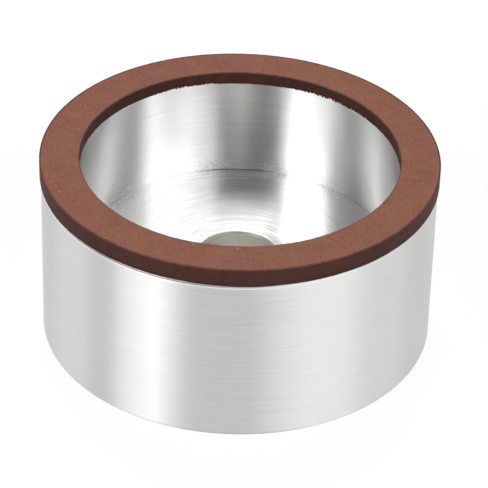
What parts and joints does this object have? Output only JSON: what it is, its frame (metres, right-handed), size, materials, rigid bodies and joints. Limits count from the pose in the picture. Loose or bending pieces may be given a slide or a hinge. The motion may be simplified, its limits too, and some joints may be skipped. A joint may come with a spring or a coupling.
{
  "type": "diamond cup wheel",
  "caption": "Straight cup grinding wheel: turned aluminium cup with a resin-bonded diamond ring on its rim and a plain central bore.",
  "frame": {"origin": "centre of the back face, on the wheel's axis", "axes": "+Z along the axis, from the back face towards the grinding face; the wheel is round, so X and Y are free"},
  "size_m": [0.1, 0.1, 0.0492],
  "materials": {
    "cup_body": "satin, turned all over with fine tool lines",
    "abrasive_ring": "matt brown resin bond with fine diamond grain"
  },
  "bodies": {
    "root": {"cup_body": "cup_body", "abrasive_ring": "abrasive_ring"}
  },
  "joints": []
}
